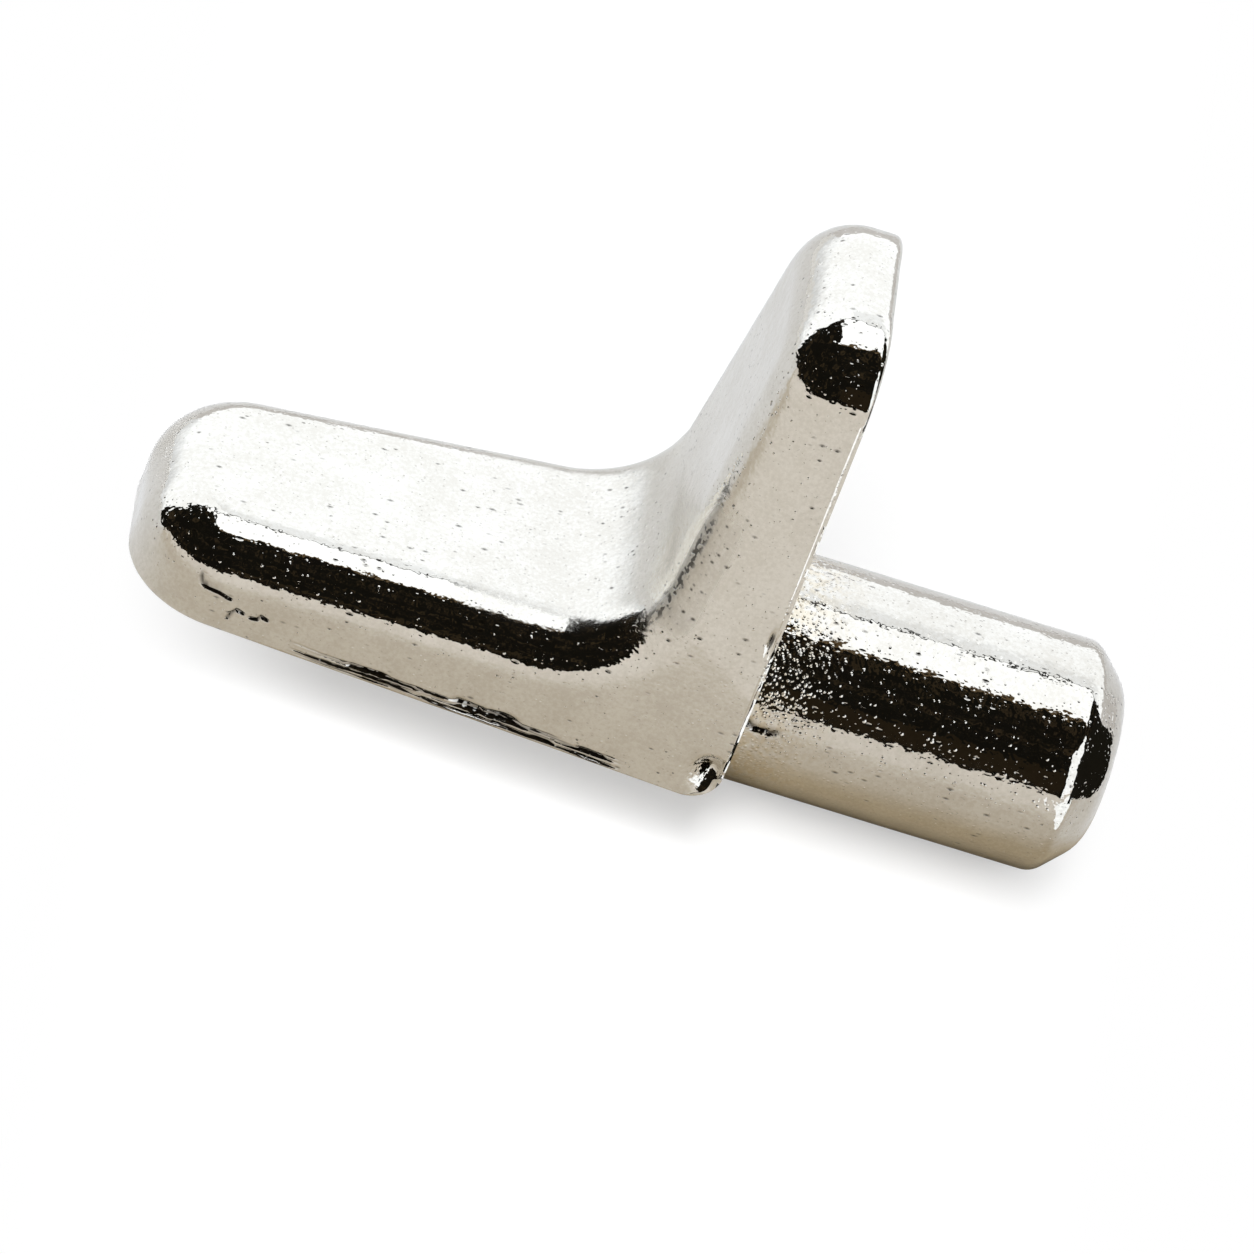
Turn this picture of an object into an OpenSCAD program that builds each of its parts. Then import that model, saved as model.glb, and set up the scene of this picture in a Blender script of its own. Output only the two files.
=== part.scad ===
// Shelf support pin: a cast bracket with a platform, a plate at right angles to it and a round pin.
// Origin: on the pin's axis, in the plane of the rear face. +X runs along the pin to its free end,
// +Z runs up the plate to its free end, and the bracket is the same on both sides of the XZ plane.

/* [Pin] */
// Diameter of the pin, for a drilled hole of the same size
pin_d = 5; // [4.5:0.05:6.5]
// Length of the pin from the rear face to its end
pin_len = 7.85; // [5:0.05:14]
// Length and depth of the chamfer at the pin's end
chamfer = 0.85; // [0.6:0.05:1.4]
// Radius that softens the rim between the pin's side and the chamfer
rim_r = 0.5; // [0.05:0.05:0.6]
// Radius that softens the rim between the chamfer and the pin's end
end_r = 1; // [0.3:0.05:1.2]

/* [Platform] */
// Length of the platform from the rear face to its tip
platform_len = 12.95; // [9:0.05:24]
// Width of the bracket at the rear face
root_w = 7.15; // [6:0.05:14]
// Width that the platform narrows to at its tip
tip_w = 5.25; // [4.4:0.05:6]
// Thickness of the platform in line with the rear face
root_t = 3; // [2.4:0.05:5]
// Thickness that the platform thins to at its tip
tip_t = 2.15; // [1.5:0.05:2.4]
// Distance from the pin's axis to the flat shelf face
shelf_drop = 1.15; // [0.5:0.05:2.4]

/* [Plate] */
// Height of the plate's top above the pin's axis
plate_h = 10.5; // [7:0.05:20]
// Thickness of the plate at its foot, level with the platform's top
foot_t = 2.7; // [2.4:0.05:5]
// Thickness that the plate thins to at its top
top_t = 1.9; // [1.4:0.05:2.4]
// Width that the plate narrows to at its top
top_w = 5.3; // [4.4:0.05:6]

/* [Rounding] */
// Radius of the exposed edges
edge_r = 1.25; // [0.4:0.05:1.35]
// Radius of the hollow corner between platform and plate
inside_r = 2.15; // [0.8:0.05:4]
// Corner radius of the platform's tip, seen from above
tip_corner_r = 2.05; // [1.4:0.05:2.15]
// Corner radius of the plate's top, seen along the pin
top_corner_r = 1.9; // [1.4:0.05:2.15]
// Radius of the heel where the rear face meets the shelf face
heel_r = 0.7; // [0.3:0.05:1]
// Radius that softens the edges of the shelf face and the rear face
fitted_edge_r = 0.1; // [0.05:0.05:0.2]
// Radius that the rear face's edge grows to at the plate's top
top_edge_r = 0.4; // [0.2:0.05:0.6]

/* [Hidden] */

// Steps in the rounded edges, in the softened edges and in each round corner of the outline
edge_steps = 10;
fitted_edge_steps = 3;
corner_steps = 10;
// Steps in each third of the hollow corner: opposite the shelf face, the heel and the rear face
hollow_steps = 6;
// Sides of the pin and steps in each of its rims
pin_sides = 64;
rim_steps = 6;

// How the bracket narrows and thins along the platform and up the plate, for each millimetre
root_top_z = root_t - shelf_drop;
top_slope = (root_t - tip_t) / platform_len;
foot_z = root_top_z - top_slope * foot_t;
front_slope = (foot_t - top_t) / (plate_h - foot_z);
plan_taper = (root_w - tip_w) / 2 / platform_len;
end_taper = (root_w - top_w) / 2 / (plate_h - foot_z);
top_lean = atan(top_slope);
front_lean = atan(front_slope);

// Height of the platform's top, front of the plate, and half of the bracket's width
function top_z(x) = root_top_z + top_slope * x;
function front_x(z) = front_slope * (z - foot_z) - foot_t;
function half_w(x, z) = root_w / 2 - max(0, -plan_taper * x, end_taper * (z - foot_z));

// Axis of the hollow corner, which runs across the bracket at the corner's radius from both faces
to_top = inside_r / cos(top_lean);
to_front = inside_r / cos(front_lean);
hollow_x = (front_x(root_top_z + to_top) - to_front) / (1 - front_slope * top_slope);
hollow_z = top_z(hollow_x) + to_top;

// Axes of the round corners at the tip of the platform and the top of the plate
tip_x = tip_corner_r - platform_len;
tip_y = half_w(tip_x, foot_z) - tip_corner_r / cos(atan(plan_taper));
top_corner_z = plate_h - top_corner_r;
top_y = half_w(0, top_corner_z) - top_corner_r / cos(atan(end_taper));

// Near edge of the tip, drawn in by inset and sunk by depth
function tip_edge(inset, depth) = [
    for (i = [0 : corner_steps])
        let (a = (90 - atan(plan_taper)) * i / corner_steps, r = tip_corner_r - inset)
        let (x = tip_x - r * cos(a))
        [x, -tip_y - r * sin(a), top_z(x) - depth]
];

// Near edge of the plate's top
function top_edge(inset, depth) = [
    for (i = [0 : corner_steps])
        let (start = atan(end_taper), r = top_corner_r - inset)
        let (a = start + (90 - start) * i / corner_steps)
        let (z = top_corner_z + r * sin(a))
        [front_x(z) + depth, -top_y - r * cos(a), z]
];

// Point of the hollow corner in the side view, at a share of its turn and sunk towards the heel
function hollow_point(share, depth) =
    let (a = top_lean + (90 - front_lean - top_lean) * share)
    [hollow_x + inside_r * sin(a) + depth * sin(90 * share),
     hollow_z - inside_r * cos(a) - depth * cos(90 * share)];

// Near edge of the hollow corner
function hollow_edge(inset, depth) = [
    for (i = [0 : 3 * hollow_steps])
        let (share = i / 3 / hollow_steps)
        let (p = hollow_point(share, depth), wall = hollow_point(share, edge_r))
        [p.x, inset - half_w(wall.x, wall.y), p.y]
];

// Point opposite the hollow corner in the side view: along the shelf face, round the heel, up the rear face
function heel_point(share) =
    let (third = 3 * share, front = hollow_point(0, 0), rear = hollow_point(1, 0))
    third < 1 ? [front.x + (-heel_r - front.x) * third, -shelf_drop] :
    third > 2 ? [0, rear.y + (heel_r - shelf_drop - rear.y) * (3 - third)] :
    [heel_r * (sin(90 * (third - 1)) - 1), heel_r * (1 - cos(90 * (third - 1))) - shelf_drop];

// Near half of one ring of the exposed surface, from the tip to the plate's top
function exposed_half(inset, depth) =
    concat(tip_edge(inset, depth), hollow_edge(inset, depth), top_edge(inset, depth));

// Near half of the edge round the shelf face, the heel and the rear face, before it is softened
fitted_half = concat(
    [for (p = tip_edge(0, 0)) [p.x, p.y, -shelf_drop]],
    [for (i = [0 : 3 * hollow_steps])
        let (q = heel_point(i / 3 / hollow_steps)) [q.x, -half_w(q.x, q.y), q.y]],
    [for (p = top_edge(0, 0)) [0, p.y, p.z]]
);

// Ways from that edge along the fitted faces: to the axis of a round corner, or straight across
inward_half = concat(
    [for (i = [0 : corner_steps])
        let (p = fitted_half[i]) [tip_x - p.x, -tip_y - p.y, 0] / tip_corner_r],
    [for (i = [0 : 3 * hollow_steps]) [0, 1, 0]],
    [for (i = [corner_steps : -1 : 0])
        let (p = fitted_half[len(fitted_half) - 1 - i]) [0, -top_y - p.y, top_corner_z - p.z] / top_corner_r]
);

// Radius of the softened edge at each of its points
softened_r = concat(
    [for (i = [0 : corner_steps + 3 * hollow_steps + 1]) fitted_edge_r],
    [for (i = [0 : corner_steps]) fitted_edge_r + (top_edge_r - fitted_edge_r) * pow(i / corner_steps, 2)]
);

// Near half of one ring of the softened edge, at an angle from the side walls round to the fitted faces
function softened_half(a) =
    let (walls = exposed_half(0, edge_r))
    [for (i = [0 : len(fitted_half) - 1])
        let (rise = walls[i] - fitted_half[i])
        fitted_half[i] + softened_r[i] * ((1 - sin(a)) * rise / norm(rise) + (1 - cos(a)) * inward_half[i])];

// Whole ring: the near half and its mirror image, back to the tip
function ring(half) = concat(half, [for (i = [len(half) - 1 : -1 : 0]) [half[i].x, -half[i].y, half[i].z]]);

// Bracket lofted through rings: in from the exposed faces, round their edges, then over the softened edges
module bracket() {
    halves = concat(
        [for (i = [0 : edge_steps])
            let (a = 90 * i / edge_steps)
            exposed_half(edge_r * (1 - sin(a)), edge_r * (1 - cos(a)))],
        [for (i = [0 : fitted_edge_steps]) softened_half(90 * i / fitted_edge_steps)]
    );
    half_len = len(halves[0]);
    ring_len = 2 * half_len;
    last = (len(halves) - 1) * ring_len;
    sides = [
        for (r = [0 : len(halves) - 2], j = [0 : ring_len - 1])
            let (k = (j + 1) % ring_len)
            [r * ring_len + j, r * ring_len + k, (r + 1) * ring_len + k, (r + 1) * ring_len + j]
    ];
    exposed_faces = [for (j = [0 : half_len - 2]) [j, ring_len - 1 - j, ring_len - 2 - j, j + 1]];
    fitted_faces = [
        for (j = [0 : half_len - 2])
            [last + j, last + j + 1, last + ring_len - 2 - j, last + ring_len - 1 - j]
    ];
    polyhedron([for (half = halves) each ring(half)], concat(sides, exposed_faces, fitted_faces));
}

// Eighth of a circle in a rim of the pin, about a centre at a distance from the axis and along it
function rim_arc(centre_r, centre_x, arc_r, from) = [
    for (i = [0 : rim_steps])
        let (a = from + 45 * i / rim_steps)
        [centre_r + arc_r * cos(a), centre_x + arc_r * sin(a)]
];

// Pin turned about its own axis, from the rear face to a chamfered end
module pin() {
    pin_r = pin_d / 2;
    rim_run = rim_r * tan(45 / 2);
    end_run = end_r * tan(45 / 2);
    rotate([0, 90, 0])
        rotate_extrude($fn = pin_sides)
            polygon(concat(
                [[0, 0], [pin_r, 0]],
                rim_arc(pin_r - rim_r, pin_len - chamfer - rim_run, rim_r, 0),
                rim_arc(pin_r - chamfer - end_run, pin_len - end_r, end_r, 45),
                [[0, pin_len]]
            ));
}

module shelf_pin() {
    color("silver")
        union() {
            bracket();
            pin();
        }
}

shelf_pin();
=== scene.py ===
"""Looks of the shelf support pin: a bright nickel-plated zinc casting on a white table."""
import math

import bpy
import numpy as np
from mathutils import Matrix, Vector, noise


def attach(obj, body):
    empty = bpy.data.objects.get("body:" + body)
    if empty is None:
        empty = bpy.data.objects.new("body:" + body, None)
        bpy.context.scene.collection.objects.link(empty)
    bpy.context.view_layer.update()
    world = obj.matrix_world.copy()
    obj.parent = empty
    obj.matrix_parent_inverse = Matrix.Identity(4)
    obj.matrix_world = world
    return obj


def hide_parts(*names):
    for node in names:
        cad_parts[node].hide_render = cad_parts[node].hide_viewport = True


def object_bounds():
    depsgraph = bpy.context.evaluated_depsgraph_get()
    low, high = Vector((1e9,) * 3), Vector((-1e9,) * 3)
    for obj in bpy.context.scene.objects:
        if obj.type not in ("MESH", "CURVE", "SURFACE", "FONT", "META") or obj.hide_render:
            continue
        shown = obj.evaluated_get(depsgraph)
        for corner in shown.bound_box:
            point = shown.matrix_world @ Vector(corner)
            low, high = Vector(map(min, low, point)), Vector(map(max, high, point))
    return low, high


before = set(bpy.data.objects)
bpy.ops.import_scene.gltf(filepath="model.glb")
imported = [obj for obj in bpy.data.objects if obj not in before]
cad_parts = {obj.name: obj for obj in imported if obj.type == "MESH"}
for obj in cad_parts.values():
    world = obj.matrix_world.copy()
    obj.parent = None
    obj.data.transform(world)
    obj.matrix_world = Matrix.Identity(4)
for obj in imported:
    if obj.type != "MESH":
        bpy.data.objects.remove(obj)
cad_low, cad_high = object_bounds()

MM = 0.001
QUARTER_TURN = math.pi / 2
EIGHTH_TURN = math.pi / 4

# Sizes of the casting in millimetres
PIN_R = 2.5
PIN_LEN = 7.85
CHAMFER = 0.85
RIM_R = 0.5
END_R = 1.0
PLATFORM_LEN = 12.95
ROOT_W = 7.15
TIP_W = 5.25
ROOT_T = 3.0
TIP_T = 2.15
SHELF_DROP = 1.15
PLATE_H = 10.5
FOOT_T = 2.7
TOP_T = 1.9
TOP_W = 5.3
EDGE_R = 1.25
INSIDE_R = 2.15
TIP_CORNER_R = 2.05
TOP_CORNER_R = 1.9
HEEL_R = 0.7
# Softening of the fitted faces' edges, and what it grows to at the plate's top
BREAK_R = 0.1
TOP_BREAK_R = 0.4

# Steps of the mesh along the bracket's edge, from the tip to the plate's top
TIP_STEPS = 40
SIDE_STEPS = 160
SHELF_STEPS = 24
HEEL_STEPS = 16
REAR_STEPS = 52
PLATE_STEPS = 74
TOP_STEPS = 20
# Steps round the exposed edges, down the walls, over the softened edges and across the bracket
EDGE_STEPS = 12
WALL_STEPS = 56
BREAK_STEPS = 4
ACROSS_STEPS = 28
# Steps round the pin above and below the heel, along it, in its rims, on its chamfer and over its end
PIN_UP_STEPS = 140
PIN_LOW_STEPS = 60
PIN_LONG_STEPS = 64
PIN_RIM_STEPS = 6
PIN_CHAMFER_STEPS = 5
PIN_END_STEPS = 8
# How the steps crowd: on the walls towards the fitted faces, on the pin towards the rear face
WALL_CROWDING = 1.5
PIN_CROWDING = 1.3
# Edges that turn by more than this stay sharp
SHARP_TURN = math.radians(38)

# How the bracket narrows and thins along the platform and up the plate, for each millimetre
root_top_z = ROOT_T - SHELF_DROP
top_slope = (ROOT_T - TIP_T) / PLATFORM_LEN
foot_z = root_top_z - top_slope * FOOT_T
front_slope = (FOOT_T - TOP_T) / (PLATE_H - foot_z)
plan_taper = (ROOT_W - TIP_W) / 2 / PLATFORM_LEN
end_taper = (ROOT_W - TOP_W) / 2 / (PLATE_H - foot_z)
top_lean = math.atan(top_slope)
front_lean = math.atan(front_slope)


def top_z(x):
    """Height of the platform's top."""
    return root_top_z + top_slope * x


def front_x(z):
    """Place of the plate's front."""
    return front_slope * (z - foot_z) - FOOT_T


def half_w(x, z):
    """Half of the bracket's width."""
    return ROOT_W / 2 - np.maximum(0, np.maximum(-plan_taper * x, end_taper * (z - foot_z)))


# Axis of the hollow corner, and axes of the round corners at the tip and the plate's top
to_top = INSIDE_R / math.cos(top_lean)
to_front = INSIDE_R / math.cos(front_lean)
hollow_x = (front_x(root_top_z + to_top) - to_front) / (1 - front_slope * top_slope)
hollow_z = top_z(hollow_x) + to_top
tip_x = TIP_CORNER_R - PLATFORM_LEN
tip_y = half_w(tip_x, foot_z) - TIP_CORNER_R / math.cos(math.atan(plan_taper))
top_corner_z = PLATE_H - TOP_CORNER_R
top_y = half_w(0, top_corner_z) - TOP_CORNER_R / math.cos(math.atan(end_taper))

# Shares of the hollow corner's turn: opposite the shelf face, the heel and the rear face
shares = np.concatenate([
    np.linspace(0, 1 / 3, SHELF_STEPS + 1),
    np.linspace(1 / 3, 2 / 3, HEEL_STEPS + 1)[1:],
    np.linspace(2 / 3, 1, REAR_STEPS + 1)[1:],
])


def columns(*xyz):
    """Points from their coordinates."""
    return np.stack(np.broadcast_arrays(*xyz), axis=-1).astype(float)


def unit(v):
    return v / np.linalg.norm(v, axis=-1, keepdims=True)


def between(a, b, steps):
    """Points strictly between a and b."""
    t = np.linspace(0, 1, steps + 1)[1:-1, None]
    return a + (b - a) * t


def tip_edge(inset, depth):
    """Near edge of the tip, drawn in by inset and sunk by depth."""
    a = np.linspace(0, QUARTER_TURN - math.atan(plan_taper), TIP_STEPS + 1)
    r = TIP_CORNER_R - inset
    x = tip_x - r * np.cos(a)
    return columns(x, -tip_y - r * np.sin(a), top_z(x) - depth)


def top_edge(inset, depth):
    """Near edge of the plate's top."""
    a = np.linspace(math.atan(end_taper), QUARTER_TURN, TOP_STEPS + 1)
    r = TOP_CORNER_R - inset
    z = top_corner_z + r * np.sin(a)
    return columns(front_x(z) + depth, -top_y - r * np.cos(a), z)


def hollow_point(share, depth):
    """Point of the hollow corner in the side view, at a share of its turn and sunk towards the heel."""
    a = top_lean + (QUARTER_TURN - front_lean - top_lean) * share
    x = hollow_x + INSIDE_R * np.sin(a) + depth * np.sin(QUARTER_TURN * share)
    z = hollow_z - INSIDE_R * np.cos(a) - depth * np.cos(QUARTER_TURN * share)
    return x, z


def hollow_edge(inset, depth):
    """Near edge of the hollow corner."""
    x, z = hollow_point(shares, depth)
    wall_x, wall_z = hollow_point(shares, EDGE_R)
    return columns(x, inset - half_w(wall_x, wall_z), z)


def heel_edge():
    """Near edge opposite the hollow corner: along the shelf face, round the heel, up the rear face."""
    front_end = hollow_point(0.0, 0.0)[0]
    rear_end = hollow_point(1.0, 0.0)[1]
    third = 3 * shares
    turn = QUARTER_TURN * np.clip(third - 1, 0, 1)
    x = np.where(third < 1, front_end + (-HEEL_R - front_end) * third, HEEL_R * (np.sin(turn) - 1))
    x = np.where(third > 2, 0.0, x)
    z = HEEL_R * (1 - np.cos(turn)) - SHELF_DROP
    z = np.where(third < 1, -SHELF_DROP, z)
    z = np.where(third > 2, rear_end + (HEEL_R - SHELF_DROP - rear_end) * (3 - third), z)
    return columns(x, -half_w(x, z), z)


def near_half(tip, hollow, top):
    """Near half of a ring, with its straight stretches divided."""
    return np.concatenate([
        tip,
        between(tip[-1], hollow[0], SIDE_STEPS),
        hollow,
        between(hollow[-1], top[0], PLATE_STEPS),
        top,
    ])


def exposed_half(inset, depth):
    """Near half of a ring of the exposed surface."""
    return near_half(tip_edge(inset, depth), hollow_edge(inset, depth), top_edge(inset, depth))


def fitted_half():
    """Near half of the edge round the shelf face, the heel and the rear face, before it is softened."""
    tip = tip_edge(0, 0)
    tip[:, 2] = -SHELF_DROP
    top = top_edge(0, 0)
    top[:, 0] = 0
    return near_half(tip, heel_edge(), top)


# Rings of the near half: from the exposed faces round their edges, and down the walls
halves = []
for a in np.linspace(0, QUARTER_TURN, EDGE_STEPS + 1):
    halves.append(exposed_half(EDGE_R * (1 - math.sin(a)), EDGE_R * (1 - math.cos(a))))
wall_top = halves[-1]
fitted = fitted_half()
wall_way = unit(wall_top - fitted)
break_r = np.full((len(fitted), 1), BREAK_R)
break_r[-TOP_STEPS - 1:, 0] += (TOP_BREAK_R - BREAK_R) * np.linspace(0, 1, TOP_STEPS + 1) ** 2
wall_end = fitted + break_r * wall_way
for t in 1 - np.linspace(1, 0, WALL_STEPS + 1)[1:] ** WALL_CROWDING:
    halves.append(wall_top + (wall_end - wall_top) * t)

# Rings over the softened edges, which turn inward along the fitted faces
heel_first = TIP_STEPS + SIDE_STEPS + SHELF_STEPS
heel_last = heel_first + HEEL_STEPS
turn = np.zeros(len(fitted))
turn[heel_first:heel_last + 1] = np.linspace(0, QUARTER_TURN, HEEL_STEPS + 1)
turn[heel_last:] = QUARTER_TURN
face_normal = columns(np.sin(turn), 0, -np.cos(turn))
inward = unit(np.cross(np.gradient(fitted, axis=0), face_normal))
inward[inward[:, 1] < 0] *= -1
inward[0] = (1, 0, 0)
inward[-1] = (0, 0, -1)
for a in np.linspace(0, QUARTER_TURN, BREAK_STEPS + 1)[1:]:
    halves.append(fitted + break_r * ((1 - math.sin(a)) * wall_way + (1 - math.cos(a)) * inward))

points = []
faces = []
half_len = len(fitted)
MIRROR = np.array([1, -1, 1])


def add(block):
    """Add points to the casting and give their indices."""
    start = len(points)
    points.extend(block.tolist())
    return list(range(start, len(points)))


def ring(half):
    """Whole ring: the near half, across the plate's top, the far half, across the tip."""
    far = half * MIRROR
    return np.concatenate([
        half,
        between(half[-1], far[-1], ACROSS_STEPS),
        far[::-1],
        between(far[0], half[0], ACROSS_STEPS),
    ])


def far_index(j):
    """Place in a ring of the mirror image of place j of the near half."""
    return 2 * half_len + ACROSS_STEPS - 2 - j


def strip(first, second, flip=False, closed=False):
    """Faces between two rows of points, or between two closed rings."""
    if closed:
        first = first + first[:1]
        second = second + second[:1]
    for k in range(len(first) - 1):
        quad = (first[k], second[k], second[k + 1], first[k + 1])
        faces.append(quad[::-1] if flip else quad)


def row(indices, half, j, ways):
    """Indices of the points across the bracket at place j of the near half, at ways from side to side."""
    if j == half_len - 1:
        inner = indices[half_len:half_len + ACROSS_STEPS - 1]
    elif j == 0:
        inner = indices[:-ACROSS_STEPS:-1]
    else:
        x, y, z = half[j]
        inner = add(columns(x, y * (1 - 2 * ways), z))
    return [indices[j], *inner, indices[far_index(j)]]


# Walls and edges all round the bracket
rings = [add(ring(half)) for half in halves]
for upper, lower in zip(rings[:-1], rings[1:]):
    strip(upper, lower, closed=True)

# Exposed faces: the platform's top, the hollow corner and the plate's front
even_ways = np.linspace(0, 1, ACROSS_STEPS + 1)[1:-1]
rows = [row(rings[0], halves[0], j, even_ways) for j in range(half_len)]
for first, second in zip(rows[:-1], rows[1:]):
    strip(first, second)

# Shelf face and heel, up to the line where the rear face begins and the pin's side crosses it twice
last_half = halves[-1]
last_ring = rings[-1]
level = last_half[heel_last][2]
edge_y = -last_half[heel_last][1]
chord = math.sqrt(PIN_R ** 2 - level ** 2)
chord_step = round(ACROSS_STEPS * (edge_y - chord) / (2 * edge_y))
outer = np.linspace(-edge_y, -chord, chord_step + 1)
middle = np.linspace(-chord, chord, ACROSS_STEPS - 2 * chord_step + 1)
line = np.concatenate([outer, middle[1:-1], -outer[::-1]])
line_ways = (line[1:-1] + edge_y) / (2 * edge_y)
rows = [row(last_ring, last_half, j, even_ways) for j in range(heel_last)]
heel_line = row(last_ring, last_half, heel_last, line_ways)
rows.append(heel_line)
for first, second in zip(rows[:-1], rows[1:]):
    strip(first, second, flip=True)

# Profile of the pin, as distances from its axis and along it, from the rear face to the end
rim_run = RIM_R * math.tan(EIGHTH_TURN / 2)
end_run = END_R * math.tan(EIGHTH_TURN / 2)
pin_straight = PIN_LEN - CHAMFER - rim_run
flat_r = PIN_R - CHAMFER - end_run


def rim_arc(centre_r, centre_x, arc_r, start):
    """Eighth of a circle in a rim of the pin."""
    a = np.linspace(start, start + EIGHTH_TURN, PIN_RIM_STEPS + 1)
    return columns(centre_r + arc_r * np.cos(a), centre_x + arc_r * np.sin(a))


side_rim = rim_arc(PIN_R - RIM_R, pin_straight, RIM_R, 0)
end_rim = rim_arc(flat_r, PIN_LEN - END_R, END_R, EIGHTH_TURN)
pin_profile = np.concatenate([
    columns(PIN_R, pin_straight * np.linspace(0, 1, PIN_LONG_STEPS + 1)[1:] ** PIN_CROWDING),
    side_rim[1:],
    between(side_rim[-1], end_rim[0], PIN_CHAMFER_STEPS),
    end_rim,
    columns(np.linspace(flat_r, 0, PIN_END_STEPS + 1)[1:-1], PIN_LEN),
])

# Pin: its root shares two points with the line at the heel
first_angle = math.asin(level / PIN_R)
up_angles = np.linspace(first_angle, math.pi - first_angle, PIN_UP_STEPS + 1)
low_angles = np.linspace(math.pi - first_angle, 2 * math.pi + first_angle, PIN_LOW_STEPS + 1)
angles = np.concatenate([up_angles, low_angles[1:-1]])


def pin_ring(r, x, turns):
    """Points round the pin's axis."""
    return add(columns(x, r * np.cos(turns), r * np.sin(turns)))


far_crossing = heel_line[ACROSS_STEPS - chord_step]
near_crossing = heel_line[chord_step]
root_up = pin_ring(PIN_R, 0, up_angles[1:-1])
root_low = pin_ring(PIN_R, 0, low_angles[1:-1])
pin_rings = [[far_crossing, *root_up, near_crossing, *root_low]]
pin_rings += [pin_ring(r, x, angles) for r, x in pin_profile]
for first, second in zip(pin_rings[:-1], pin_rings[1:]):
    strip(first, second, flip=True, closed=True)
end_ring = pin_rings[-1]
centre = add(columns(PIN_LEN, 0, 0)[None])[0]
for j, index in enumerate(end_ring):
    faces.append((index, end_ring[(j + 1) % len(end_ring)], centre))

# Rear face round the pin, and the part of the pin's root that hangs below the heel
rear = last_ring[heel_last:far_index(heel_last) + 1]
rear += heel_line[ACROSS_STEPS - 1:ACROSS_STEPS - chord_step - 1:-1]
rear += root_up
rear += heel_line[chord_step:0:-1]
faces.append(tuple(rear[::-1]))
faces.append(tuple(heel_line[chord_step:ACROSS_STEPS - chord_step + 1] + root_low[::-1]))

mesh = bpy.data.meshes.new("shelf_pin_casting")
mesh.from_pydata(points, [], faces)
mesh.update()
place = np.array(points)
outward = np.array([normal.vector for normal in mesh.vertex_normals])
x, y, z = place.T
# How far apart two seeds are in the noise
NOISE_SHIFT = Vector((7.3, 3.1, 5.7))
LINE_SHIFT = (3.7, 1.9)


def waves(scale, seed):
    """Smooth noise from -1 to 1 at each point of the casting, with scale waves to the millimetre."""
    return np.array([noise.noise(Vector(p) * scale + NOISE_SHIFT * seed) for p in points])


def line_waves(along, scale, seed):
    """Smooth noise from -1 to 1 along a line."""
    shift = [seed * step for step in LINE_SHIFT]
    return np.array([noise.noise((v * scale, *shift)) for v in along])


def bell(offset, width):
    return np.exp(-(offset / width) ** 2)


def rise(value, low, high):
    """Smooth step from 0 at low to 1 at high."""
    t = np.clip((value - low) / (high - low), 0, 1)
    return t * t * (3 - 2 * t)


def span(value, start, full, fade, end):
    """Smooth step from 0 at start to 1 at full, and back from fade to end."""
    return rise(value, start, full) * rise(value, end, fade)


def along_way(way, spots, width):
    """1 along a way over the casting, falling to 0 at a few widths from it."""
    nearest = np.full(len(spots), np.inf)
    for first, last in zip(np.array(way[:-1]), np.array(way[1:])):
        step = last - first
        t = np.clip((spots - first) @ step / (step @ step), 0, 1)
        nearest = np.minimum(nearest, np.linalg.norm(spots - first - t[:, None] * step, axis=1))
    return bell(nearest, width)


# Relief of the cast skin: how far each point is pressed in, in millimetres, and how dark the painted shade
# in its grooves and cracks is
press = np.zeros(len(place))
groove_shade = np.zeros(len(place))
# The bracket's side walls and its near side, by how far the skin faces sideways
BRACKET_END = 0.01
WALL_TURN = (0.5, 0.7)
NEAR_TURN = (0.15, 0.4)
on_bracket = x < BRACKET_END
far_side = y > 0
side_wall = rise(np.abs(outward[:, 1]), *WALL_TURN) * on_bracket
near_wall = side_wall * (y < 0)
near_side = rise(-outward[:, 1], *NEAR_TURN) * on_bracket


def cut(shape, depth, dark=0):
    """Press a mark into the skin, and darken it with painted shade where dark is given."""
    press[:] += depth * shape
    groove_shade[:] = np.maximum(groove_shade, dark)


def scratch(way, width):
    """1 along a way over the near wall, given by its x and z."""
    return along_way(way, place[:, [0, 2]], width) * near_side


# Slight swells of the whole skin, as depth and waves to the millimetre
SWELLS = [(0.004, 0.8), (0.0016, 2.7)]
for seed, (depth, scale) in enumerate(SWELLS, start=1):
    cut(1 + waves(scale, seed), depth)

# Broken lines that the mould left on the side walls, each with a low ridge under it: height above the
# shelf face at the middle of the line, drift for each millimetre along the platform, and depth
PARTING_LINES = [
    (0.36, -0.005, 0.03),
    (0.31, -0.0075, 0.026),
    (0.23, 0.0075, 0.022),
    (0.17, -0.005, 0.03),
    (0.13, 0.0025, 0.022),
]
LINE_SPAN = (-10.4, -7.0, -2.6, -1.9)
LINE_MIDDLE = -7.0
LINE_W = 0.023
LINE_DARK = 0.75
RIDGE_DROP = 0.05
RIDGE_W = 0.02
RIDGE_SHARE = 0.4
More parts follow.
